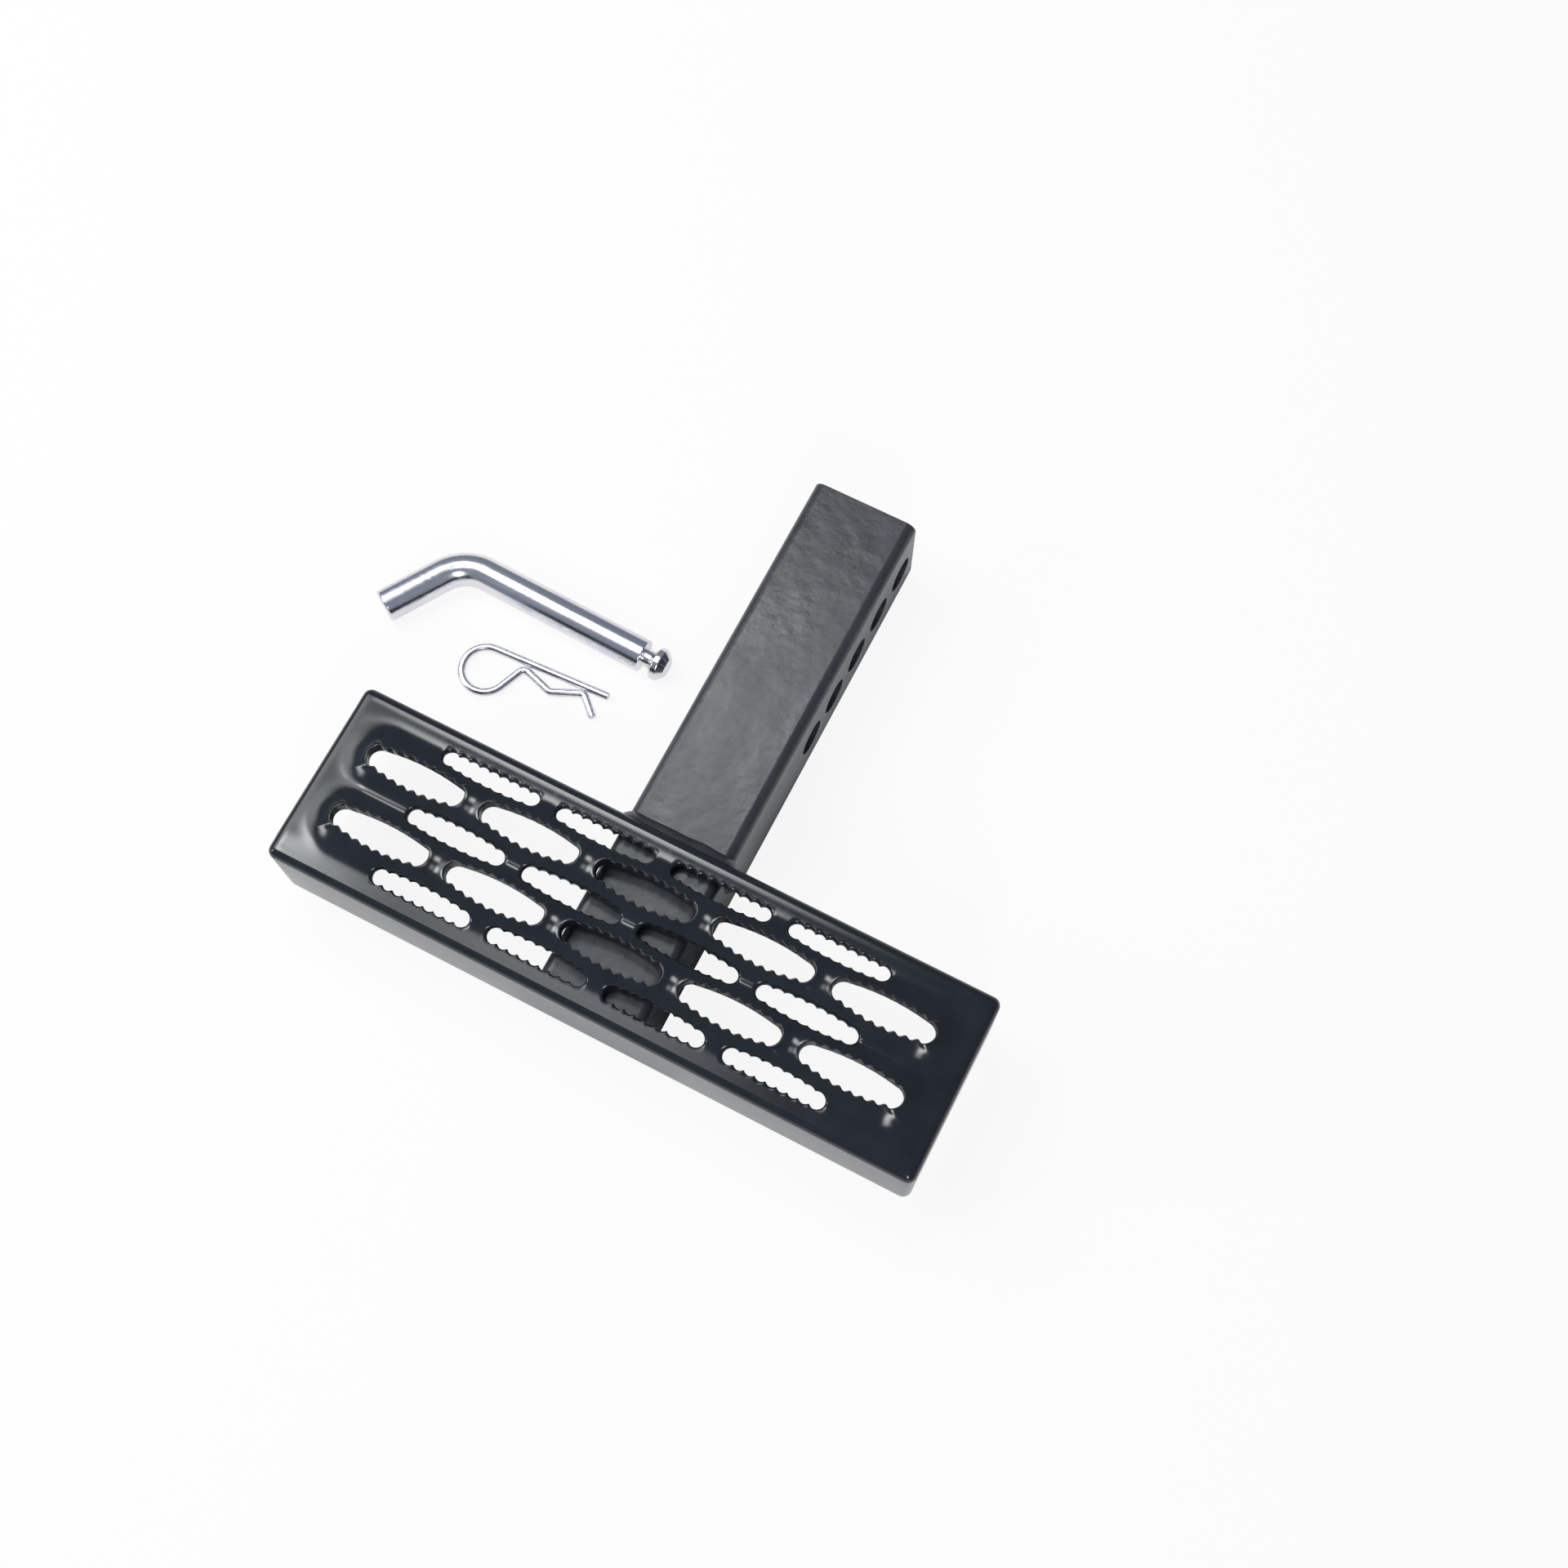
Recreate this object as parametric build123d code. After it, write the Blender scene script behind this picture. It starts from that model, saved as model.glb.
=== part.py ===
"""Hitch receiver step: a pressed grip tread welded on a square shank, with its hitch pin and clip.

Millimetres. X runs along the tread, +Y along the shank towards the vehicle, +Z up.
The origin is on the shank's underside, at the middle of its length.
"""
import os
from math import atan2, cos, degrees, pi, radians, sin, sqrt, tan

from build123d import *

# Shank: square tube with a row of cross-drilled pin holes
TUBE_SIDE = 50.8
TUBE_LENGTH = 263.7
TUBE_WALL = 4.0
TUBE_CORNER = 5.0
PIN_HOLE_DIAMETER = 17.0
PIN_HOLE_COUNT = 5
PIN_HOLE_PITCH = 22.5
PIN_HOLE_FROM_END = 13.6

# Tread: inverted pan of pressed sheet
FLANGE_HEIGHT = 44.0
BACK_FLANGE_HEIGHT = 30.0
SHEET = 3.0
TREAD_RISE = 6.6
EDGE_RADIUS = 4.0
END_MARGIN = 18.5
SIDE_MARGIN = 9.4
NOTCH_CLEARANCE = 0.2

# Openings: five staggered rows, wide ones on two ridges and narrow ones beside them
OPENING_LENGTH = 47.0
OPENING_BRIDGE = 9.0
WIDE_COUNT = 5
NARROW_COUNT = 4
WIDE_MIDDLE = 6.0
WIDE_END = 4.2
NARROW_MIDDLE = 4.0
NARROW_END = 3.0
MARGIN_SIDE = 2.4
ROW_WEB = 2.6
END_DEPTH = 6.0
END_FLAT_COUNT = 6
TOOTH_COUNT = 7
TOOTH_DEPTH = 1.2

# Ridges pressed up along the tread
RIDGE_RISE = 6.0
RIDGE_RIM = 0.3
RIDGE_END_MARGIN = 10.0
RIDGE_FLAT_COUNT = 7

# Fillet welds
WELD_LEG = 4.0
WELD_TIP = 0.5
WELD_CROWN = 0.4

# Hitch pin: bent round bar with a grooved nose
PIN_DIAMETER = 15.875
PIN_SHAFT = 85.6
PIN_BEND_RADIUS = 21.0
PIN_BEND_ANGLE = 60.0
PIN_HANDLE = 31.2
PIN_GROOVE = 4.5
PIN_NECK_DIAMETER = 8.5
PIN_NOSE = 8.0
PIN_NOSE_CONE = 2.0
PIN_NOSE_CHAMFER = 3.2
PIN_EDGE = 0.8
PIN_PLACE = (-65.0, 34.2)
PIN_TURN = -1.9

# Clip: one length of spring wire with a loop and a waved leg
WIRE_DIAMETER = 3.8
WIRE_FLAT_COUNT = 8
CLIP_LEG = 58.4
CLIP_LOOP_RADIUS = 11.3
CLIP_LOOP_SWEEP = 245.0
CLIP_BEND_RADIUS = 3.2
CLIP_GAP = 0.3
CLIP_VALLEY = (32.1, 9.1)
CLIP_SECOND_CREST = 47.2
CLIP_TAIL = (56.0, 12.3)
CLIP_PLACE = (-129.8, 7.85)
CLIP_TURN = 2.9

# Places and sizes that follow from the ones above
opening_pitch = OPENING_LENGTH + OPENING_BRIDGE
opening_reach = OPENING_LENGTH / 2 - END_DEPTH
tooth_pitch = 2 * opening_reach / TOOTH_COUNT
wide_half = WIDE_MIDDLE + TOOTH_DEPTH
row_pitch = wide_half + ROW_WEB + NARROW_MIDDLE + TOOTH_DEPTH
tread_length = (WIDE_COUNT - 1) * opening_pitch + OPENING_LENGTH + 2 * END_MARGIN
tread_width = 2 * (2 * row_pitch + MARGIN_SIDE + TOOTH_DEPTH + SIDE_MARGIN)
tube_front = -TUBE_LENGTH / 2
tube_back = TUBE_LENGTH / 2
tread_top = TUBE_SIDE + TREAD_RISE
tread_bottom = tread_top - FLANGE_HEIGHT
back_bottom = tread_top - BACK_FLANGE_HEIGHT
tread_front = tube_front - SHEET
tread_back = tread_front + tread_width
tread_middle = tread_front + tread_width / 2
ridge_length = tread_length - 2 * RIDGE_END_MARGIN
ridge_foot = wide_half + ROW_WEB - RIDGE_RIM
ridge_slope = atan2(RIDGE_RISE, ROW_WEB - 2 * RIDGE_RIM)


def tube_outline(grow=0.0):
    """The shank's outer square, grown on every side by a given amount."""
    side = TUBE_SIDE + 2 * grow
    return RectangleRounded(side, side, TUBE_CORNER + grow)


def across_shank(y):
    """Plane across the shank at a place along it, centred on the shank, facing the vehicle."""
    return Plane((0, y, TUBE_SIDE / 2), x_dir=(1, 0, 0), z_dir=(0, 1, 0))


def make_shank_tube():
    """Square tube, drilled through both side walls."""
    hollow = TUBE_SIDE - 2 * TUBE_WALL
    section = tube_outline() - RectangleRounded(hollow, hollow, TUBE_CORNER - TUBE_WALL)
    tube = extrude(across_shank(tube_front) * section, TUBE_LENGTH)
    drill = Cylinder(PIN_HOLE_DIAMETER / 2, 2 * TUBE_SIDE, rotation=(0, 90, 0))
    for index in range(PIN_HOLE_COUNT):
        y = tube_back - PIN_HOLE_FROM_END - index * PIN_HOLE_PITCH
        tube -= Pos(0, y, TUBE_SIDE / 2) * drill
    return tube


def pan_outside():
    """The pan's outer form, with its upright and top edges rounded alike."""
    outline = Rectangle(tread_length, tread_width)
    block = extrude(Pos(0, tread_middle, tread_bottom) * outline, FLANGE_HEIGHT)
    upright = block.edges().filter_by(Axis.Z)
    return fillet(upright + block.edges().group_by(Axis.Z)[-1], EDGE_RADIUS)


def pan_hollow():
    """The space between the folded flanges. A flat that touches the bend's inner radius breaks its top edge."""
    outline = Rectangle(tread_length - 2 * SHEET, tread_width - 2 * SHEET)
    block = extrude(Pos(0, tread_middle, tread_bottom) * outline, FLANGE_HEIGHT - SHEET)
    return chamfer(block.edges().group_by(Axis.Z)[-1], (EDGE_RADIUS - SHEET) * (2 - sqrt(2)))


def ridge_form(inset=0.0, drop=0.0):
    """Ridge with a flat top and half-round ends drawn with flats, on the flat sheet's top at Z = 0.

    Set in and dropped, it is the space under the ridge.
    """
    straight = ridge_length / 2 - ridge_foot
    half_width = ridge_foot - inset
    points = []
    for index in range(RIDGE_FLAT_COUNT + 1):
        angle = pi * index / RIDGE_FLAT_COUNT
        points.append((straight + half_width * sin(angle), -half_width * cos(angle)))
    foot = make_face(Polyline(*points, *[(-x, -y) for x, y in points], close=True))
    return extrude(Pos(0, 0, -drop) * foot, RIDGE_RISE, taper=90 - degrees(ridge_slope))


def half_opening(side, other):
    """Points of a toothed side, right to left, and of the left end round to the other side.

    Each side is given by the half widths between its teeth's tips, at the middle and at the ends.
    The round end runs on from the bottoms of the teeth.
    """
    middle, end = side
    points = []
    for index in range(2 * TOOTH_COUNT + 1):
        x = (TOOTH_COUNT - index) * tooth_pitch / 2
        arch = end + (middle - end) * (1 - (x / opening_reach) ** 2)
        points.append((x, arch + TOOTH_DEPTH * (index % 2)))
    for index in range(1, END_FLAT_COUNT):
        angle = pi * index / END_FLAT_COUNT
        half_width = TOOTH_DEPTH + (end if index < END_FLAT_COUNT / 2 else other[1])
        points.append((-opening_reach - END_DEPTH * sin(angle), half_width * cos(angle)))
    return points


def toothed_opening(back, front):
    """Outline of an opening with a row of teeth on each long side."""
    turned = [(-x, -y) for x, y in half_opening(front, back)]
    return make_face(Polyline(*half_opening(back, front), *turned, close=True))


def row_places(row, count):
    """Places of a row's openings on the tread's top, evenly pitched about its middle."""
    y = tread_middle + row * row_pitch
    return [Pos((index - (count - 1) / 2) * opening_pitch, y, tread_top) for index in range(count)]


def make_tread():
    """Pan and ridges as one even sheet, then the openings, the lower back flange and the notch for the shank."""
    under_ridge = ridge_form(SHEET * tan(ridge_slope / 2), SHEET)
    places = [Pos(0, tread_middle + row * row_pitch, tread_top) for row in (1, -1)]
    pan = pan_outside() - pan_hollow() + [place * ridge_form() for place in places]
    pan = pan - [place * under_ridge for place in places]

    wide = (WIDE_MIDDLE, WIDE_END)
    narrow = (NARROW_MIDDLE, NARROW_END)
    margin = (MARGIN_SIDE, MARGIN_SIDE)
    wide_opening = toothed_opening(wide, wide)
    rows = [
        (2, NARROW_COUNT, toothed_opening(margin, narrow)),
        (1, WIDE_COUNT, wide_opening),
        (0, NARROW_COUNT, toothed_opening(narrow, narrow)),
        (-1, WIDE_COUNT, wide_opening),
        (-2, NARROW_COUNT, toothed_opening(narrow, margin)),
    ]
    cuts = []
    for row, count, outline in rows:
        punch = extrude(Pos(0, 0, -2 * SHEET) * outline, RIDGE_RISE + 3 * SHEET)
        cuts += [place * punch for place in row_places(row, count)]
    notch = extrude(across_shank(tread_back - 2 * SHEET) * tube_outline(NOTCH_CLEARANCE), 3 * SHEET)
    relief = Box(tread_length - 2 * EDGE_RADIUS, 3 * SHEET, FLANGE_HEIGHT)
    below_flange = Pos(0, tread_back, back_bottom - FLANGE_HEIGHT / 2) * relief
    return pan - cuts - notch - below_flange


def make_rear_weld():
    """Fillet bead on the back flange, up one side of the shank, over its top and down the other."""
    start = tread_back - EDGE_RADIUS
    side = TUBE_SIDE + 2 * WELD_LEG
    bead = extrude(across_shank(start) * Rectangle(side, side), EDGE_RADIUS + WELD_LEG)
    bead = chamfer(bead.faces().sort_by(Axis.Y)[-1].edges(), WELD_LEG - WELD_TIP)
    shank = extrude(across_shank(start) * tube_outline(), 2 * TUBE_SIDE)
    block = 4 * TUBE_SIDE
    below = Pos(0, tread_back, back_bottom - block / 2) * Box(block, block, block)
    return bead - shank - pan_outside() - below


def make_front_weld():
    """Two upright fillet beads inside the pan, one on each side of the shank's front end."""
    corner = (TUBE_SIDE / 2, tube_front)
    along_flange = (TUBE_SIDE / 2 + WELD_LEG, tube_front)
    along_shank = (TUBE_SIDE / 2, tube_front + WELD_LEG)
    section = make_face(
        [
            Line(corner, along_flange),
            SagittaArc(along_flange, along_shank, -WELD_CROWN),
            Line(along_shank, corner),
        ]
    )
    low = tread_bottom + SHEET
    bead = extrude(Pos(0, 0, low) * section, TUBE_SIDE - TUBE_CORNER - low)
    return bead + mirror(bead, Plane.YZ)


def rod(edges, section):
    """Bar of an even section along straight and round edges that lie flat."""
    lengths = []
    for edge in edges:
        start = Plane(edge @ 0, x_dir=(0, 0, 1), z_dir=edge % 0) * section
        if edge.geom_type == GeomType.LINE:
            lengths.append(extrude(start, edge.length))
        else:
            upright = (edge @ 0 - edge.arc_center).cross(edge % 0)
            turn = degrees(edge.length / edge.radius)
            lengths.append(revolve(start, Axis(edge.arc_center, upright), turn))
    return lengths[0] + lengths[1:]


def make_hitch_pin():
    """Bent bar lying on its side, with a turned groove and nose. Its shaft ends at the local origin."""
    radius = PIN_DIAMETER / 2
    neck = PIN_NECK_DIAMETER / 2
    shaft = Line((0, 0), (-PIN_SHAFT, 0))
    bend = JernArc(shaft @ 1, (-1, 0), PIN_BEND_RADIUS, PIN_BEND_ANGLE)
    handle = Line(bend @ 1, bend @ 1 + bend % 1 * PIN_HANDLE)
    bar = rod([shaft, bend, handle], Circle(radius))
    bar = chamfer(bar.faces().sort_by(Axis.Y)[0].edges(), PIN_EDGE)
    tip = PIN_GROOVE + PIN_NOSE
    profile = Polyline(
        (0, 0),
        (0, neck),
        (PIN_GROOVE, neck),
        (PIN_GROOVE + PIN_NOSE_CONE, radius),
        (tip - PIN_NOSE_CHAMFER, radius),
        (tip, radius - PIN_NOSE_CHAMFER),
        (tip, 0),
        close=True,
    )
    pin = bar + revolve(make_face(profile), Axis.X)
    return Pos(*PIN_PLACE, radius) * Rot(0, 0, PIN_TURN) * pin


def make_pin_clip():
    """Wire clip lying flat: straight leg along X, round loop, then a leg waved against the straight one."""
    exit_angle = radians(CLIP_LOOP_SWEEP - 180)
    crest = CLIP_BEND_RADIUS / 4 - WIRE_DIAMETER - CLIP_GAP
    leg = Line((CLIP_LEG, 0), (0, 0))
    loop = JernArc(leg @ 1, (-1, 0), CLIP_LOOP_RADIUS, CLIP_LOOP_SWEEP)
    leave = loop @ 1
    first_crest = leave.X + (crest - leave.Y) / tan(exit_angle)
    waved = FilletPolyline(
        leave,
        (first_crest, crest),
        (CLIP_VALLEY[0], -CLIP_VALLEY[1]),
        (CLIP_SECOND_CREST, crest),
        (CLIP_TAIL[0], -CLIP_TAIL[1]),
        radius=CLIP_BEND_RADIUS,
    )
    flat_down = 180 / WIRE_FLAT_COUNT
    section = RegularPolygon(WIRE_DIAMETER / 2, WIRE_FLAT_COUNT, major_radius=False, rotation=flat_down)
    wire = rod([leg, loop, *waved.edges()], section)
    return Pos(*CLIP_PLACE, WIRE_DIAMETER / 2) * Rot(0, 0, CLIP_TURN) * wire


os.makedirs("parts", exist_ok=True)
pieces = {
    "tread": make_tread(),
    "shank_tube": make_shank_tube(),
    "rear_weld": make_rear_weld(),
    "front_weld": make_front_weld(),
    "hitch_pin": make_hitch_pin(),
    "pin_clip": make_pin_clip(),
}
for name, piece in pieces.items():
    export_step(piece, f"parts/{name}.step")
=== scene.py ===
import math

import bmesh
import bpy
from mathutils import Matrix, Vector, noise


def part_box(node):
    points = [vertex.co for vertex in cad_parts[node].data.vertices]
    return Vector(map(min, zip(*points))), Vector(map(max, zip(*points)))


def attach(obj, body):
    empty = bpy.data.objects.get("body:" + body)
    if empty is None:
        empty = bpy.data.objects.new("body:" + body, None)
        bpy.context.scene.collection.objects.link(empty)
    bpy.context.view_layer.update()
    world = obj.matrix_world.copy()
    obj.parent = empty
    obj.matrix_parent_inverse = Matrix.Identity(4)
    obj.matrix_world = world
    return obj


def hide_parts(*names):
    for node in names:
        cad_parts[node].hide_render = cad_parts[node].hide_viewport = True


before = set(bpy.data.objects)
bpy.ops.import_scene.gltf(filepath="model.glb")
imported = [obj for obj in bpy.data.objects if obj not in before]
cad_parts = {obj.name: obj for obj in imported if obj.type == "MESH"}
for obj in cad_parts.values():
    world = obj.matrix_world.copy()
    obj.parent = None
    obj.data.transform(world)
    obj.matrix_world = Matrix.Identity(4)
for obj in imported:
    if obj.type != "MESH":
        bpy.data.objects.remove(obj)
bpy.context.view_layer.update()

# Shank tube: a square steel tube with five cross-drilled pin holes, which slides into the hitch receiver.
# It is sawn and drilled, then powder-coated black, so its cut edges are soft and its flat sides
# have the faint ripple and the cloudy sheen of a baked coat.
TUBE_MERGE = 0.00001
TUBE_FLAT_ANGLE = math.radians(1)
TUBE_EDGE = 0.0006
TUBE_EDGE_STEPS = 2
TUBE_EDGE_ANGLE = math.radians(50)
TUBE_FLAT_WEIGHT = 100
TUBE_COAT = (0.030, 0.033, 0.039, 1)
TUBE_SHEEN = (0.24, 0.36)
TUBE_RIPPLE = 0.00026
TUBE_GRAIN = 120
TUBE_DRAWN = (1, 0.5, 1)
COAT_CLOUD = 70
COAT_CLOUD_RANGE = (0.25, 0.75)
COAT_PALER = 1.6
COAT_GRAIN = 220
COAT_IOR = 1.5
CLOUD_ROUGH = 0.55
NOISE_DETAIL = 3
NOT_DRAWN = (1, 1, 1)


class Shade:
    """A socket of a node tree: sums and products of sockets and numbers add their own Math nodes."""

    def __init__(self, tree, socket):
        self.tree = tree
        self.socket = socket

    def node(self, kind, settings, inputs, out=0):
        """Output of a new node of any kind: its settings are made first, then its sockets are fed."""
        made = self.tree.nodes.new(kind)
        for name, value in settings.items():
            setattr(made, name, value)
        feed(made, inputs)
        return Shade(self.tree, made.outputs[out])

    def maths(self, operation, first, second):
        return self.node("ShaderNodeMath", {"operation": operation}, {0: first, 1: second})

    def __add__(self, other):
        return self.maths("ADD", self, other)

    def __radd__(self, other):
        return self.maths("ADD", other, self)

    def __sub__(self, other):
        return self.maths("SUBTRACT", self, other)

    def __rsub__(self, other):
        return self.maths("SUBTRACT", other, self)

    def __mul__(self, other):
        return self.maths("MULTIPLY", self, other)

    def __rmul__(self, other):
        return self.maths("MULTIPLY", other, self)

    def drawn(self, shares):
        """These coordinates multiplied axis by axis, which draws a pattern out along an axis below 1."""
        return self.node("ShaderNodeVectorMath", {"operation": "MULTIPLY"}, {0: self, 1: shares})

    def off(self, axis, middle):
        """Distance of these coordinates from a middle along one axis."""
        along = self.node("ShaderNodeSeparateXYZ", {}, {"Vector": self}, axis) - middle
        return self.maths("ABSOLUTE", along, 0)

    def noise(self, scale, rough=0.5):
        """Cloudy pattern of about one blob per 1/scale metres on these coordinates."""
        sockets = {"Vector": self, "Scale": scale, "Detail": NOISE_DETAIL, "Roughness": rough}
        return self.node("ShaderNodeTexNoise", {}, sockets)

    def between(self, low, high, low_out, high_out):
        """This value carried from one range to another and held inside it."""
        sockets = {"Value": self, "From Min": low, "From Max": high, "To Min": low_out, "To Max": high_out}
        return self.node("ShaderNodeMapRange", {"clamp": True}, sockets)

    def blend(self, first, second):
        """Colour mixed from first to second as this value goes from 0 to 1."""
        return self.node("ShaderNodeMix", {"data_type": "RGBA"}, {0: self, 6: first, 7: second}, 2)

    def bump(self, distance):
        """Normal of a skin that this value raises by up to a distance."""
        return self.node("ShaderNodeBump", {}, {"Strength": 1.0, "Distance": distance, "Height": self})


def feed(shader, sockets):
    """Links Shades into a node's sockets, and sets plain values there."""
    for name, value in sockets.items():
        if isinstance(value, Shade):
            value.tree.links.new(value.socket, shader.inputs[name])
        else:
            shader.inputs[name].default_value = value


def start_finish(name):
    """New material: its glossy shader, and the place on the piece as a Shade."""
    finish = bpy.data.materials.new(name)
    finish.use_nodes = True
    shader = finish.node_tree.nodes["Principled BSDF"]
    place = finish.node_tree.nodes.new("ShaderNodeTexCoord")
    return finish, shader, Shade(finish.node_tree, place.outputs["Object"])


def powder_coat(name, colour, sheen, peel, grain=COAT_GRAIN, drawn=NOT_DRAWN):
    """Baked black powder coat: tone and sheen in clouds along the steel's grain, over fine orange peel."""
    finish, shader, place = start_finish(name)
    cloud = place.drawn(drawn).noise(COAT_CLOUD, CLOUD_ROUGH)
    pale = tuple(COAT_PALER * part for part in colour[:3]) + (1,)
    tone = cloud.between(*COAT_CLOUD_RANGE, 0, 1).blend(colour, pale)
    gloss = cloud.between(*COAT_CLOUD_RANGE, *sheen)
    skin = place.noise(grain).bump(peel)
    feed(shader, {"Base Color": tone, "Roughness": gloss, "Normal": skin, "IOR": COAT_IOR})
    return finish


def add_piece(name, body, finish):
    """New object at the origin, made of a finished bmesh, shaded smooth and dressed in one material."""
    mesh = bpy.data.meshes.new(name)
    body.to_mesh(mesh)
    body.free()
    mesh.shade_smooth()
    mesh.materials.append(finish)
    piece = bpy.data.objects.new(name, mesh)
    bpy.context.collection.objects.link(piece)
    return piece


def soften(piece, name, width, segments, angle):
    """Bevel modifier that rounds the edges of a piece which are sharper than an angle."""
    rounding = piece.modifiers.new(name, "BEVEL")
    rounding.width = width
    rounding.segments = segments
    rounding.limit_method = "ANGLE"
    rounding.angle_limit = angle
    return rounding


shell = bmesh.new()
shell.from_mesh(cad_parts["shank_tube"].data)
bmesh.ops.remove_doubles(shell, verts=shell.verts, dist=TUBE_MERGE)
bmesh.ops.dissolve_limit(shell, angle_limit=TUBE_FLAT_ANGLE, verts=shell.verts, edges=shell.edges)
tube_coat = powder_coat("tube_coat", TUBE_COAT, TUBE_SHEEN, TUBE_RIPPLE, TUBE_GRAIN, TUBE_DRAWN)
tube = add_piece("shank_tube_coated", shell, tube_coat)
soften(tube, "soft_edges", TUBE_EDGE, TUBE_EDGE_STEPS, TUBE_EDGE_ANGLE)
flat_sides = tube.modifiers.new("flat_sides", "WEIGHTED_NORMAL")
flat_sides.mode = "FACE_AREA"
flat_sides.weight = TUBE_FLAT_WEIGHT
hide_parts("shank_tube")
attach(tube, "root")

# Tread: one pressed sheet-steel pan with flanges on all four sides. Two long ridges swell up from it,
# pierced by wide openings with turned-up toothed lips, and narrow toothed openings lie in the valleys
# and margins. It is punched, pressed and folded from 3 mm sheet and powder-coated black after welding.
SHEET = 0.003
FLANGE = 0.044
BACK_FLANGE = 0.030
NOTCH = (0.0256, 0.051)
RIM_ROUND = 0.004
RIM_ROUND_STEPS = 7
FLAT_INSET = 0.006
STEP = 0.001
TOLERANCE = STEP / 10
MERGE = STEP / 20
CUT_MERGE = STEP / 100
CELL = 0.028
ROW = 0.015
WIDE_BAND = 0.0085
WIDE_COUNT = 5
NARROW_COUNT = 4
OPENING_HALF = 0.0235
ARC_SHARE = 60
TOOTH = 0.0012
VALLEY_TOOTH = 0.0008
TOOTH_PITCH = 0.005
TOOTH_REACH = 0.0175
TOOTH_STEPS = 0.021
# Sides of the openings: half width at the middle, half width towards the ends, depth of the teeth.
WIDE_SIDE = (0.0072, 0.0054, TOOTH)
VALLEY_SIDE = (0.0050, 0.0038, VALLEY_TOOTH)
MARGIN_SIDE = (0.0036, 0.0036, TOOTH)
WIDE_END = 0.0052
NARROW_END = 0.0042
WIDE_EDGE = 0.0007
NARROW_EDGE = 0.0015
EDGE_SHARE = 0.7
# Rings of sheet round an opening: share of the way out to the cell's rim, share of the rounding at the edge.
LIP_RINGS = ((0.75, 1), (0.5, 1), (0.25, 1), (0, 1), (0, 0.62), (0, 0.3), (0, 0.08), (0, 0))
LIP_SLANT = 0.93
LIP_DEEPER = 0.6
LIP_TURN = 0.10
RIDGE_RISE = 0.006
RIDGE_SLOPE = 0.60
RIDGE_FOOT = 0.0144
RIDGE_STRAIGHT = 0.129
FOOT_ROUND = 0.0020
END_SOFTER = 0.05
CREST = 0.0065
CREST_REACH = 0.009
CREST_ROUND = 0.021
CREST_BLEND = 0.0004
CREST_BLEND_REACH = 50
SADDLE_DIP = 0.0012
EDGE_FALL = 0.0004
BACK_RISE = 0.0002
EDGE_REACH = 0.008
FOLD_ANGLE = math.radians(60)
FACING_BACK = 0.9
TREAD_SHARP_ANGLE = math.radians(50)
TREAD_COAT = (0.010, 0.013, 0.017, 1)
TREAD_SHEEN = (0.13, 0.16)
TREAD_PEEL = 0.000004

tread_low, tread_high = (Vector(corner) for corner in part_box("tread"))
plate_top = tread_high.z - RIDGE_RISE
half_length = (tread_high.x - tread_low.x) / 2
half_width = (tread_high.y - tread_low.y) / 2
tread_y = (tread_low.y + tread_high.y) / 2
flat_length = half_length - FLAT_INSET
flat_width = half_width - FLAT_INSET


def opening_side(x, middle, end, depth):
    """Distance of an opening's long edge from its row line: a flat arch that runs into round ends."""
    straight = OPENING_HALF - depth
    if abs(x) > straight:
        return end * math.sqrt(max(1 - ((abs(x) - straight) / depth) ** 2, 0))
    return end + (middle - end) * (1 - (x / straight) ** 2)


def opening_edge(spot, band, kind, toothed):
    """Place on an opening's edge, toothed or plain, for a spot on the rim of its cell."""
    x, y, _ = spot
    low, high = band
    depth = kind["depth"]
    middle, end, tooth = kind["back"] if y > 0 else kind["front"]
    if abs(x) < CELL - TOLERANCE or abs(y - low) < TOLERANCE or abs(y - high) < TOLERANCE:
        corner = OPENING_HALF - depth + depth * math.cos(math.radians(ARC_SHARE))
        past = max(abs(x) - TOOTH_STEPS, 0) / (CELL - TOOTH_STEPS)
        across = min(abs(x) / TOOTH_STEPS, 1) * TOOTH_REACH + past * (corner - TOOTH_REACH)
        away = opening_side(across, middle, end, depth)
        if toothed and across < TOOTH_REACH + TOOTH_PITCH / 2:
            bite = abs((across / TOOTH_PITCH + 0.5) % 1 - 0.5) * 2
            away -= tooth * ((1 - math.cos(math.pi * bite)) / 2 if kind["lip"] else bite * bite)
        return Vector((math.copysign(across, x), away if y > 0 else -away, 0))
    share = y / high if y > 0 else -y / low
    angle = math.radians(90 - ARC_SHARE * share)
    return Vector((math.copysign(OPENING_HALF - depth * (1 - math.sin(angle)), x), end * math.cos(angle), 0))


def ring_edges(ring):
    """Edges between the corners of a ring."""
    inside = set(ring)
    return list(dict.fromkeys(e for v in ring for e in v.link_edges if e.other_vert(v) in inside))


def grow_ring(body, ring):
    """New ring, joined to an old one by faces and not yet moved from its place."""
    grown = bmesh.ops.extrude_edge_only(body, edges=ring_edges(ring))["geom"]
    return [item for item in grown if isinstance(item, bmesh.types.BMVert)]


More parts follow.
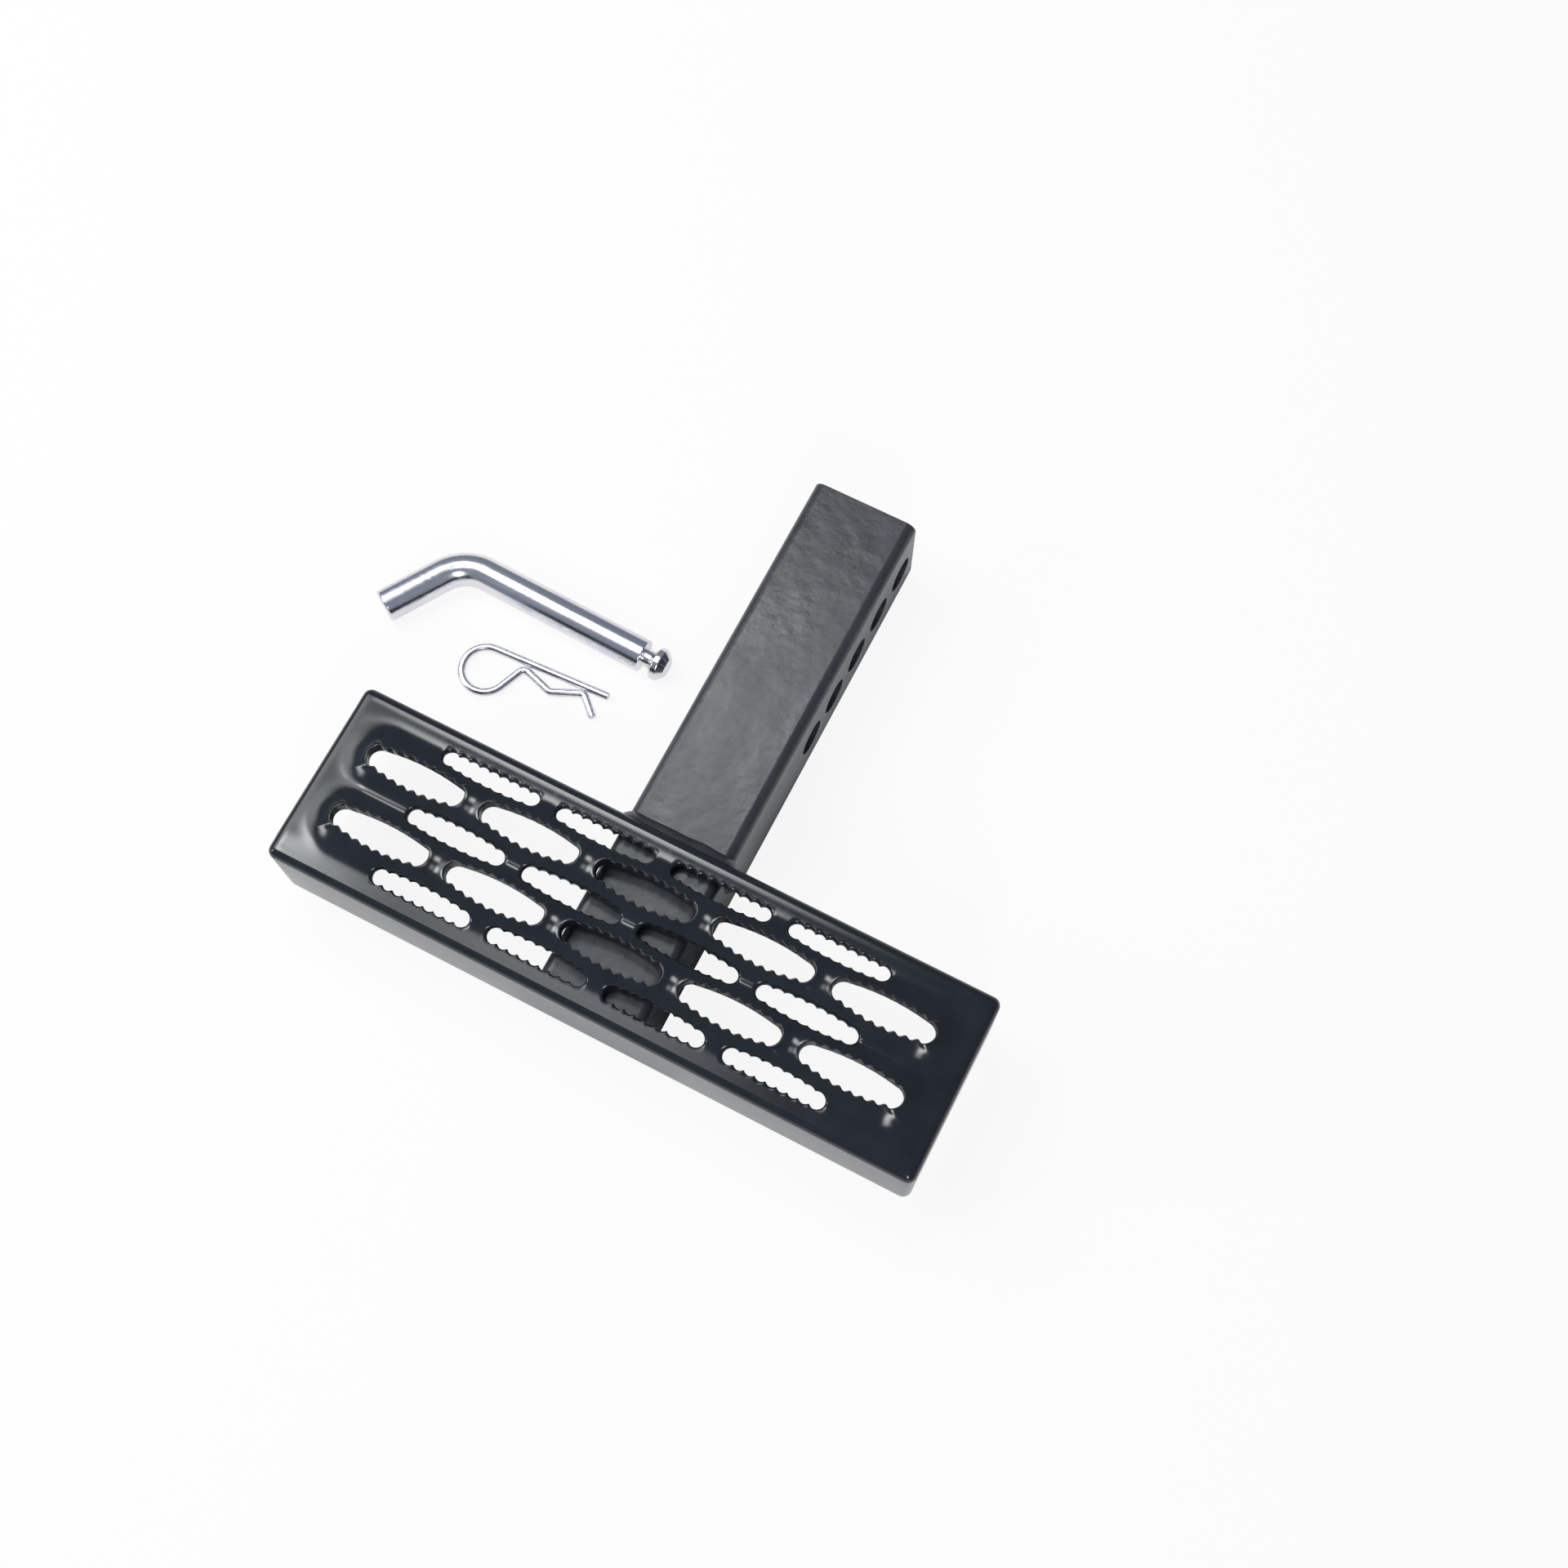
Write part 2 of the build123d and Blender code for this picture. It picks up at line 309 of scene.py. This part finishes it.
def add_opening(sheet, marks, centre, band, kind):
    """Sheet round one opening: a ring on the cell's rim, pulled in step by step to the toothed edge."""
    step_mark, drop, lip, low_edge = marks
    low, high = band
    along = round(2 * CELL / STEP)
    across = round((high - low) / STEP)
    rim = []
    rim += [Vector((CELL - STEP * k, high, 0)) for k in range(along)]
    rim += [Vector((-CELL, high - (high - low) * k / across, 0)) for k in range(across)]
    rim += [Vector((-CELL + STEP * k, low, 0)) for k in range(along)]
    rim += [Vector((CELL, low + (high - low) * k / across, 0)) for k in range(across)]
    toothed = [opening_edge(spot, band, kind, True) for spot in rim]
    plain = [opening_edge(spot, band, kind, False) for spot in rim]
    ring = bmesh.ops.create_circle(sheet, segments=len(rim), radius=CELL)["verts"]
    ring.sort(key=lambda vert: math.atan2(vert.co.y, vert.co.x) % (2 * math.pi))
    for index, vert in enumerate(ring):
        vert[step_mark] = index
        vert.co = centre + rim[index]
    for outer, inner in LIP_RINGS:
        ring = grow_ring(sheet, ring)
        for vert in ring:
            index = vert[step_mark]
            way = rim[index] - toothed[index]
            rounded = min(kind["round"], EDGE_SHARE * way.length)
            back = way.normalized() * rounded * inner * (1 - outer)
            vert.co = centre + toothed[index] + way * outer + back
            vert[lip] = kind["lip"] * (1 - outer) ** 2
            vert[drop] = -LIP_TURN * way.length * vert[lip]
            if outer == 0:
                vert[drop] += rounded * (1 - math.sqrt(1 - (1 - inner) ** 2))
            if kind["lip"]:
                low_place = Vector((plain[index].x, plain[index].y * LIP_SLANT, 0))
                way = rim[index] - low_place
                back = way.normalized() * rounded * inner * (1 - outer)
                vert[low_edge] = centre + low_place + way * outer + back


def add_plain(sheet, x_low, x_high, band, y):
    """Plain rectangle of sheet, in steps that meet its neighbours."""
    low, high = band
    size = Matrix.Diagonal(((x_high - x_low) / 2, (high - low) / 2, 1, 1))
    place = Matrix.Translation(((x_low + x_high) / 2, y + (low + high) / 2, plate_top))
    steps = (round((x_high - x_low) / STEP), round((high - low) / STEP))
    bmesh.ops.create_grid(sheet, x_segments=steps[0], y_segments=steps[1], size=1, matrix=place @ size)


def ridge_rise(x, y):
    """Height of the ridges over the plate: straight slopes, soft feet and a crest that dips in saddles."""
    past = max(abs(x) - RIDGE_STRAIGHT, 0)
    soft = FOOT_ROUND + END_SOFTER * past * past / (past + RIDGE_FOOT)
    slopes = 0
    for ridge in (-ROW, ROW):
        inside = (RIDGE_FOOT - math.hypot(past, y - ridge)) / soft
        slopes += RIDGE_SLOPE * soft * math.log1p(math.exp(inside))
    beside = min(abs(y - ROW), abs(y + ROW), CREST_REACH)
    dip = SADDLE_DIP * (1 - math.cos(math.pi * x / CELL)) / 2
    crest = CREST - dip - beside * beside / (2 * CREST_ROUND)
    over = (slopes - crest) / CREST_BLEND
    if over > CREST_BLEND_REACH:
        return crest
    return slopes - CREST_BLEND * math.log1p(math.exp(over))


def edge_fall(y):
    """Soft fall of the plate towards its front fold, and a smaller rise towards its back fold."""
    front, back = (min(max(1 + past / EDGE_REACH, 0), 1) ** 2 for past in (-y - flat_width, y - flat_width))
    return EDGE_FALL * front - BACK_RISE * back


def face_up(sheet):
    """Turns the faces of an open sheet so that its top is the outside."""
    bmesh.ops.recalc_face_normals(sheet, faces=sheet.faces)
    if sum(face.normal.z for face in sheet.faces) < 0:
        bmesh.ops.reverse_faces(sheet, faces=sheet.faces)


def on_outline(vert, length, width):
    """Whether a corner lies on the rectangle of that half length and half width."""
    beside = abs(abs(vert.co.x) - length) < TOLERANCE
    return beside or abs(abs(vert.co.y - tread_y) - width) < TOLERANCE


def cut_back_flange(half, height):
    """Cuts the back flange away between two uprights, below a height."""
    cuts = (((half, 0, 0), (1, 0, 0)), ((-half, 0, 0), (1, 0, 0)), ((0, 0, height), (0, 0, 1)))
    for point, facing in cuts:
        flange = [face for face in sheet.faces if face.normal.y > FACING_BACK]
        around = {item for face in flange for item in (face, *face.edges, *face.verts)}
        bmesh.ops.bisect_plane(sheet, geom=list(around), dist=CUT_MERGE, plane_co=point, plane_no=facing)
    cut = []
    for face in sheet.faces:
        centre = face.calc_center_median()
        if face.normal.y > FACING_BACK and abs(centre.x) < half and centre.z < height:
            cut.append(face)
    bmesh.ops.delete(sheet, geom=cut, context="FACES")


sheet = bmesh.new()
marks = (
    sheet.verts.layers.int.new("step_mark"),
    sheet.verts.layers.float.new("drop"),
    sheet.verts.layers.float.new("lip"),
    sheet.verts.layers.float_vector.new("low_edge"),
)
valley_band = ROW - WIDE_BAND
margin_band = flat_width - 2 * ROW
wide = {"back": WIDE_SIDE, "front": WIDE_SIDE, "depth": WIDE_END, "round": WIDE_EDGE, "lip": 1}
narrow = {"back": VALLEY_SIDE, "front": VALLEY_SIDE, "depth": NARROW_END, "round": NARROW_EDGE, "lip": 0}
rows = {
    -2: ((-margin_band, valley_band), NARROW_COUNT, narrow | {"front": MARGIN_SIDE}),
    -1: ((-WIDE_BAND, WIDE_BAND), WIDE_COUNT, wide),
    0: ((-valley_band, valley_band), NARROW_COUNT, narrow),
    1: ((-WIDE_BAND, WIDE_BAND), WIDE_COUNT, wide),
    2: ((-valley_band, margin_band), NARROW_COUNT, narrow | {"back": MARGIN_SIDE}),
}
for row, (band, count, kind) in rows.items():
    y = tread_y + row * ROW
    reach = count * CELL
    for number in range(count):
        add_opening(sheet, marks, Vector(((2 * number + 1) * CELL - reach, y, plate_top)), band, kind)
    ends = [reach, flat_length] if count == WIDE_COUNT else [reach, WIDE_COUNT * CELL, flat_length]
    for near, far in zip(ends, ends[1:]):
        add_plain(sheet, near, far, band, y)
        add_plain(sheet, -far, -near, band, y)
bmesh.ops.remove_doubles(sheet, verts=sheet.verts, dist=MERGE)
face_up(sheet)

rim_edges = []
for edge in sheet.edges:
    if edge.is_boundary and all(on_outline(vert, flat_length, flat_width) for vert in edge.verts):
        rim_edges.append(edge)
for down in (0, FLANGE):
    grown = bmesh.ops.extrude_edge_only(sheet, edges=rim_edges)["geom"]
    ring = {item for item in grown if isinstance(item, bmesh.types.BMVert)}
    rim_edges = [item for item in grown if isinstance(item, bmesh.types.BMEdge) and set(item.verts) <= ring]
    for vert in ring:
        if down:
            vert.co.z -= down
            continue
        if abs(vert.co.x) > flat_length - TOLERANCE:
            vert.co.x = math.copysign(half_length, vert.co.x)
        if abs(vert.co.y - tread_y) > flat_width - TOLERANCE:
            vert.co.y = tread_y + math.copysign(half_width, vert.co.y - tread_y)
face_up(sheet)
folds = []
for edge in sheet.edges:
    outside = all(on_outline(vert, half_length, half_width) for vert in edge.verts)
    if outside and edge.is_manifold and edge.calc_face_angle(0) > FOLD_ANGLE:
        folds.append(edge)
bmesh.ops.bevel(
    sheet,
    geom=folds,
    offset=RIM_ROUND,
    offset_type="OFFSET",
    segments=RIM_ROUND_STEPS,
    profile=0.5,
    affect="EDGES",
    material=-1,
)
cut_back_flange(*NOTCH)
cut_back_flange(flat_length, plate_top - BACK_FLANGE)
bmesh.ops.solidify(sheet, geom=sheet.faces[:], thickness=SHEET)

_, drop, lip, low_edge = marks
for vert in sheet.verts:
    fall = edge_fall(vert.co.y - tread_y)
    if vert.co.z < plate_top - SHEET - TOLERANCE:
        vert.co.z -= fall
        continue
    under = vert.co.z < plate_top - SHEET / 2
    rise = ridge_rise(vert.co.x, vert.co.y - tread_y) - fall
    if under:
        if vert[low_edge].length > 0:
            vert.co.xy = vert[low_edge].xy
        vert.co.z += rise * (1 - LIP_DEEPER * vert[lip])
    else:
        vert.co.z += rise - vert[drop]

tread = add_piece("tread_pressing", sheet, powder_coat("tread_coat", TREAD_COAT, TREAD_SHEEN, TREAD_PEEL))
tread.data.set_sharp_from_angle(angle=TREAD_SHARP_ANGLE)
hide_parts("tread")
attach(tread, "root")

# Rear weld: the fillet bead laid by hand where the tube leaves the back flange, up one side, over the top
# and down the other. It is dressed nearly flat, its edges wander a little, and the coat runs over it.
BEAD = 0.0056
BEAD_FULL = 1.3
BEAD_SINK = 0.0010
BEAD_SIDES = 24
BEAD_STEP = 0.0011
BEAD_BEND_STEPS = 7
BEAD_WOBBLE = 0.0007
BEAD_WOBBLE_SCALE = 90
TUBE_HALF = 0.0254
TUBE_ROUND = 0.005
WELD_PEEL = 0.00008


def run_on(body, ring, way, steps):
    """Carries a ring straight on by a vector, in equal steps."""
    for _ in range(steps):
        ring = grow_ring(body, ring)
        bmesh.ops.translate(body, verts=ring, vec=Vector(way) / steps)
    return ring


def turn_on(body, ring, centre, axis, angle, steps):
    """Carries a ring round a bend."""
    grown = bmesh.ops.spin(body, geom=ring_edges(ring), cent=centre, axis=axis, angle=angle, steps=steps)
    return [item for item in grown["geom_last"] if isinstance(item, bmesh.types.BMVert)]


def close_ends(body, *rings):
    """Fills the open ends of a drawn body and turns its faces outwards."""
    for ring in rings:
        bmesh.ops.edgeloop_fill(body, edges=ring_edges(ring))
    bmesh.ops.recalc_face_normals(body, faces=body.faces)


weld_low = Vector(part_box("rear_weld")[0])
bead_x = TUBE_HALF - BEAD_SINK
bead_y = tread_high.y - BEAD_SINK
bend_side = TUBE_HALF - TUBE_ROUND
bend_high = 2 * TUBE_HALF - TUBE_ROUND
upright = bend_high - weld_low.z - BEAD_STEP
level = 2 * bend_side
bead = bmesh.new()
start = Matrix.Translation((-bead_x, bead_y, weld_low.z + BEAD_STEP))
first = bmesh.ops.create_circle(bead, segments=BEAD_SIDES, radius=BEAD, matrix=start)["verts"]
for vert in first:
    out = (vert.co - start.translation) / BEAD
    reach = (abs(out.x) ** BEAD_FULL + abs(out.y) ** BEAD_FULL) ** (1 / BEAD_FULL)
    vert.co = start.translation + out * BEAD / reach
ring = run_on(bead, first, (0, 0, upright), round(upright / BEAD_STEP))
ring = turn_on(bead, ring, (-bend_side, bead_y, bend_high), (0, 1, 0), math.pi / 2, BEAD_BEND_STEPS)
ring = run_on(bead, ring, (level, 0, 0), round(level / BEAD_STEP))
ring = turn_on(bead, ring, (bend_side, bead_y, bend_high), (0, 1, 0), math.pi / 2, BEAD_BEND_STEPS)
ring = run_on(bead, ring, (0, 0, -upright), round(upright / BEAD_STEP))
close_ends(bead, first, ring)
bead.normal_update()
for vert in bead.verts:
    vert.co += vert.normal * BEAD_WOBBLE * noise.noise(vert.co * BEAD_WOBBLE_SCALE)
rear_weld = add_piece("rear_weld_bead", bead, powder_coat("weld_coat", TUBE_COAT, TUBE_SHEEN, WELD_PEEL))
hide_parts("rear_weld")
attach(rear_weld, "root")

# Front welds: two short upright beads inside the pan that tie the tube's front end to the front flange.
# They are under the tread, coated with the rest, and keep the shape that CAD gives them.
FRONT_WELD_SHEEN = (0.34, 0.48)

front_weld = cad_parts["front_weld"]
front_weld_coat = powder_coat("front_weld_coat", TUBE_COAT, FRONT_WELD_SHEEN, WELD_PEEL)
front_weld.material_slots[0].material = front_weld_coat

# Hitch pin: a 5/8 inch steel bar with one end bent into a handle and the other turned to a grooved nose.
# It is bright zinc plated, so it mirrors its surroundings with a faint cool tint.
PIN_RADIUS = 0.0079375
PIN_SIDES = 64
PIN_SHAFT = 0.0856
PIN_SHAFT_STEPS = 24
PIN_BEND = 0.021
PIN_BEND_ANGLE = math.radians(60)
PIN_BEND_STEPS = 20
PIN_HANDLE = 0.0312
PIN_HANDLE_STEPS = 10
PIN_NECK = 0.00425
PIN_GROOVE = 0.0045
PIN_CONE = 0.002
PIN_NOSE = 0.008
PIN_CHAMFER = 0.0032
PIN_EDGE = 0.0008
PIN_TURNED_EDGE = 0.0005
PIN_TURNED_STEPS = 3
PIN_TURNED_ANGLE = math.radians(25)
PIN_PLACE = (-0.065, 0.0342, PIN_RADIUS)
PIN_TURN = math.radians(-1.9)
PIN_ZINC = (0.78, 0.78, 0.80, 1)
PIN_TINT = (0.70, 0.69, 0.77, 1)
PIN_SHEEN = (0.16, 0.26)
ZINC_CLOUD = 40
ZINC_CLOUD_RANGE = (0.42, 0.64)
ZINC_CLOUD_SHARE = 0.4
ZINC_DRAWN = (0.03, 1, 1)
ZINC_MARKS = 600
ZINC_MARKS_ROUGH = 0.6
ZINC_MARKS_DEPTH = 0.000012
ZINC_SHEEN_RANGE = (0.36, 0.64)


def step_ring(body, ring, way, scale, centre):
    """Carries a ring on by a vector and draws it in or out about its own centre."""
    ring = run_on(body, ring, way, 1)
    about = Matrix.Translation(-Vector(centre))
    bmesh.ops.scale(body, verts=ring, vec=(scale, scale, scale), space=about)
    return ring


def lay_down(body, turn, place):
    """Turns a body about the upright axis and moves it to its place on the floor."""
    bmesh.ops.rotate(body, verts=body.verts, cent=(0, 0, 0), matrix=Matrix.Rotation(turn, 3, "Z"))
    bmesh.ops.translate(body, verts=body.verts, vec=place)


def plated(name, colour, tint, sheen):
    """Bright plated steel: a mirror with faint clouds, drawn marks and a cool cast in places."""
    finish, shader, place = start_finish(name)
    cloud = place.noise(ZINC_CLOUD, CLOUD_ROUGH)
    fine = place.drawn(ZINC_DRAWN).noise(ZINC_MARKS, ZINC_MARKS_ROUGH)
    tone = cloud.between(*ZINC_CLOUD_RANGE, 0, 1).blend(colour, tint)
    mixed = cloud * ZINC_CLOUD_SHARE + fine * (1 - ZINC_CLOUD_SHARE)
    gloss = mixed.between(*ZINC_SHEEN_RANGE, *sheen)
    skin = fine.bump(ZINC_MARKS_DEPTH)
    feed(shader, {"Base Color": tone, "Roughness": gloss, "Normal": skin, "Metallic": 1.0})
    return finish


pin = bmesh.new()
along_x = Matrix.Rotation(math.pi / 2, 4, "Y")
nose = bmesh.ops.create_circle(pin, segments=PIN_SIDES, radius=PIN_RADIUS, matrix=along_x)["verts"]
ring = run_on(pin, nose, (-PIN_SHAFT, 0, 0), PIN_SHAFT_STEPS)
ring = turn_on(pin, ring, (-PIN_SHAFT, -PIN_BEND, 0), (0, 0, 1), PIN_BEND_ANGLE, PIN_BEND_STEPS)
handle = Vector((-math.cos(PIN_BEND_ANGLE), -math.sin(PIN_BEND_ANGLE), 0))
bend_x = -PIN_SHAFT - PIN_BEND * math.sin(PIN_BEND_ANGLE)
bend_y = -PIN_BEND * (1 - math.cos(PIN_BEND_ANGLE))
tip = Vector((bend_x, bend_y, 0)) + handle * PIN_HANDLE
ring = run_on(pin, ring, handle * (PIN_HANDLE - PIN_EDGE), PIN_HANDLE_STEPS)
ring = step_ring(pin, ring, handle * PIN_EDGE, 1 - PIN_EDGE / PIN_RADIUS, tip)
nose_steps = [
    (0, PIN_RADIUS, PIN_NECK),
    (PIN_GROOVE, PIN_NECK, PIN_NECK),
    (PIN_CONE, PIN_NECK, PIN_RADIUS),
    (PIN_NOSE - PIN_CONE - PIN_CHAMFER, PIN_RADIUS, PIN_RADIUS),
    (PIN_CHAMFER, PIN_RADIUS, PIN_RADIUS - PIN_CHAMFER),
]
reach = 0
for length, old, new in nose_steps:
    reach += length
    nose = step_ring(pin, nose, (length, 0, 0), new / old, (reach, 0, 0))
close_ends(pin, ring, nose)
lay_down(pin, PIN_TURN, PIN_PLACE)
hitch_pin = add_piece("hitch_pin_plated", pin, plated("pin_zinc", PIN_ZINC, PIN_TINT, PIN_SHEEN))
turned_edges = soften(hitch_pin, "turned_edges", PIN_TURNED_EDGE, PIN_TURNED_STEPS, PIN_TURNED_ANGLE)
turned_edges.harden_normals = True
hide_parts("hitch_pin")
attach(hitch_pin, "root")

# Pin clip: a spring wire clip with one straight leg, a round loop and a waved leg, which snaps into
# the pin's groove. It is hard-drawn wire, bent cold and bright zinc plated.
WIRE = 0.0019
WIRE_SIDES = 24
CLIP_LEG = 0.0584
CLIP_LEG_STEPS = 20
CLIP_LOOP = 0.0113
CLIP_SWEEP = math.radians(245)
CLIP_LOOP_STEPS = 48
CLIP_BEND = 0.0032
CLIP_BEND_STEPS = 12
CLIP_RUN_STEPS = 6
CLIP_CREST = -0.0033
CLIP_VALLEY = Vector((0.0321, -0.0091, 0))
CLIP_SECOND_CREST = 0.0472
CLIP_TAIL = Vector((0.056, -0.0123, 0))
CLIP_EDGE = 0.0004
CLIP_EDGE_STEPS = 2
CLIP_EDGE_ANGLE = math.radians(50)
CLIP_PLACE = (-0.1298, 0.00785, WIRE)
CLIP_TURN = math.radians(2.9)
CLIP_ZINC = (0.76, 0.76, 0.79, 1)
CLIP_TINT = (0.66, 0.65, 0.74, 1)
CLIP_SHEEN = (0.22, 0.32)

clip = bmesh.new()
start = Matrix.Translation((CLIP_LEG, 0, 0)) @ along_x
first = bmesh.ops.create_circle(clip, segments=WIRE_SIDES, radius=WIRE, matrix=start)["verts"]
ring = run_on(clip, first, (-CLIP_LEG, 0, 0), CLIP_LEG_STEPS)
ring = turn_on(clip, ring, (0, -CLIP_LOOP, 0), (0, 0, 1), CLIP_SWEEP, CLIP_LOOP_STEPS)
place = Vector((-CLIP_LOOP * math.sin(CLIP_SWEEP), -CLIP_LOOP * (1 - math.cos(CLIP_SWEEP)), 0))
exit_angle = CLIP_SWEEP - math.pi
first_crest = Vector((place.x + (CLIP_CREST - place.y) / math.tan(exit_angle), CLIP_CREST, 0))
corners = [first_crest, CLIP_VALLEY, Vector((CLIP_SECOND_CREST, CLIP_CREST, 0)), CLIP_TAIL]
for corner, beyond in zip(corners, corners[1:]):
    old = (corner - place).normalized()
    new = (beyond - corner).normalized()
    angle = math.atan2(old.x * new.y - old.y * new.x, old.dot(new))
    trim = CLIP_BEND * math.tan(abs(angle) / 2)
    bend_start = corner - old * trim
    ring = run_on(clip, ring, bend_start - place, CLIP_RUN_STEPS)
    side = Vector((-old.y, old.x, 0)) * math.copysign(CLIP_BEND, angle)
    ring = turn_on(clip, ring, bend_start + side, (0, 0, 1), angle, CLIP_BEND_STEPS)
    place = corner + new * trim
ring = run_on(clip, ring, CLIP_TAIL - place, CLIP_RUN_STEPS)
close_ends(clip, first, ring)
lay_down(clip, CLIP_TURN, CLIP_PLACE)
pin_clip = add_piece("pin_clip_wire", clip, plated("clip_zinc", CLIP_ZINC, CLIP_TINT, CLIP_SHEEN))
cut_ends = soften(pin_clip, "cut_ends", CLIP_EDGE, CLIP_EDGE_STEPS, CLIP_EDGE_ANGLE)
cut_ends.harden_normals = True
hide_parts("pin_clip")
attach(pin_clip, "root")

# Floor: a wide white studio sweep. It shows white to the camera and in the bright metal, and keeps
# a soft part of the object's shadow. In reflections it is shaded under the pan and at the tube's foot,
# so the pan's inside and the tube's lower edges stay dark.
FLOOR_HALF = 6.0
FLOOR_COLOUR = (0.88, 0.88, 0.88, 1)
FLOOR_ROUGH = 0.9
FLOOR_PAPER = 0.9
FLOOR_GLOSS = 0.76
# How far inside and outside a footprint the mirrored floor goes from dark to white.
PAN_SHADE = (0.02, 0.016)
TUBE_SHADE = (0.004, 0.020)
RAYS = ("Is Camera Ray", "Is Glossy Ray", "Is Transmission Ray")


def ray_kinds(tree):
    """Whether a look is straight from the camera, mirrored or through something clear, as three Shades."""
    seen = tree.nodes.new("ShaderNodeLightPath")
    return [Shade(tree, seen.outputs[name]) for name in RAYS]


paper = bmesh.new()
bmesh.ops.create_grid(paper, x_segments=1, y_segments=1, size=FLOOR_HALF)
white, matt, spot = start_finish("studio_paper")
feed(matt, {"Base Color": FLOOR_COLOUR, "Roughness": FLOOR_ROUGH})
straight, mirrored, through = ray_kinds(white.node_tree)
tube_low, tube_high = (Vector(corner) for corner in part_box("shank_tube"))
open_floor = 1
for low, high, (inside, outside) in ((tread_low, tread_high, PAN_SHADE), (tube_low, tube_high, TUBE_SHADE)):
    clear = []
    for axis in (0, 1):
        half = (high[axis] - low[axis]) / 2
        off = spot.off(axis, (high[axis] + low[axis]) / 2)
        clear.append(off.between(half - inside, half + outside, 0, 1))
    open_floor *= spot.maths("MAXIMUM", *clear)
share = (straight + through) * FLOOR_PAPER + mirrored * open_floor * FLOOR_GLOSS
glow = share.node("ShaderNodeEmission", {}, {"Color": (1, 1, 1, 1), "Strength": 1.0})
lit = Shade(white.node_tree, matt.outputs[0])
both = share.node("ShaderNodeMixShader", {}, {0: share, 1: lit, 2: glow})
feed(white.node_tree.nodes["Material Output"], {"Surface": both})
floor = add_piece("floor", paper, white)

# Light: a dim, faintly blue room, brighter in reflections and white behind the object. Soft boxes hang in a
# broken ring overhead with the camera's own dark gap between them, one stands low at the left,
# and a tall narrow one far off at the front right.
ROOM = (0.10, 0.115, 0.14, 1)
MIRRORED_ROOM = (0.21, 0.24, 0.29, 1)
BACKDROP = (0.95, 0.95, 0.95, 1)
FADE_FROM = 0.2
FADE_TO = 0.5
FADE_GROWTH = 1 / (FADE_TO + FADE_FROM)

room = bpy.data.worlds.new("studio_room")
room.use_nodes = True
straight, mirrored, _ = ray_kinds(room.node_tree)
surround = straight.blend(mirrored.blend(ROOM, MIRRORED_ROOM), BACKDROP)
feed(room.node_tree.nodes["Background"], {"Color": surround, "Strength": 1.0})
bpy.context.scene.world = room


def soft_box(name, place, aim, size, power):
    """Rectangular soft box that faces a point, with a cloth that fades out round the edge of its size."""
    lamp = bpy.data.lights.new(name, "AREA")
    lamp.shape = "RECTANGLE"
    lamp.size, lamp.size_y = (side * FADE_GROWTH for side in size)
    lamp.energy = power * FADE_GROWTH * FADE_GROWTH
    lamp.use_nodes = True
    cloth = lamp.node_tree.nodes.new("ShaderNodeNewGeometry")
    across = Shade(lamp.node_tree, cloth.outputs["Parametric"])
    fade = 1
    for axis in (0, 1):
        fade *= across.off(axis, 0.5).between(FADE_FROM, FADE_TO, 1, 0)
    feed(lamp.node_tree.nodes["Emission"], {"Strength": fade})
    box = bpy.data.objects.new(name, lamp)
    box.location = place
    box.rotation_euler = (Vector(place) - Vector(aim)).to_track_quat("Z", "Y").to_euler()
    bpy.context.collection.objects.link(box)


soft_box("soft_box_left", place=(-1.36, 0.15, 1.52), aim=(-0.14, 0.0, 0.06), size=(1.0, 1.1), power=13)
soft_box("soft_box_back", place=(-0.42, 0.47, 1.5), aim=(-0.42, 0.47, 0), size=(0.54, 0.30), power=5.4)
soft_box("soft_box_front", place=(-0.80, -0.16, 1.5), aim=(-0.80, -0.16, 0), size=(0.36, 0.36), power=5.0)
soft_box("soft_box_middle", place=(-0.32, -0.16, 1.5), aim=(-0.32, -0.16, 0), size=(0.38, 0.28), power=1.2)
soft_box("soft_box_low_left", place=(-1.66, -1.09, 0.95), aim=(-0.13, -0.1, 0.05), size=(0.4, 0.8), power=9)
soft_box("soft_box_right", place=(0.95, -1.9, 1.6), aim=(0.13, -0.1, 0.05), size=(0.45, 1.2), power=22)

# Camera: above the front right corner, looking steeply down with the shank away from it.
# Its place, angles and lens were solved from the photograph's edges.
CAMERA_PLACE = (0.1629, -0.25915, 0.8999)
CAMERA_TILT = math.radians(18.73)
CAMERA_TURN = math.radians(27.86)
CAMERA_ROLL = math.radians(-0.64)
CAMERA_LENS = 47.51
CAMERA_SENSOR = 36
CAMERA_NEAR = 0.01

lens = bpy.data.cameras.new("camera")
lens.lens = CAMERA_LENS
lens.sensor_width = CAMERA_SENSOR
lens.clip_start = CAMERA_NEAR
view = bpy.data.objects.new("camera", lens)
turned = Matrix.Rotation(CAMERA_TURN, 4, "Z") @ Matrix.Rotation(CAMERA_TILT, 4, "X")
view.matrix_world = Matrix.Translation(CAMERA_PLACE) @ turned @ Matrix.Rotation(CAMERA_ROLL, 4, "Z")
bpy.context.collection.objects.link(view)
bpy.context.scene.camera = view
bpy.context.scene.view_settings.view_transform = "Standard"
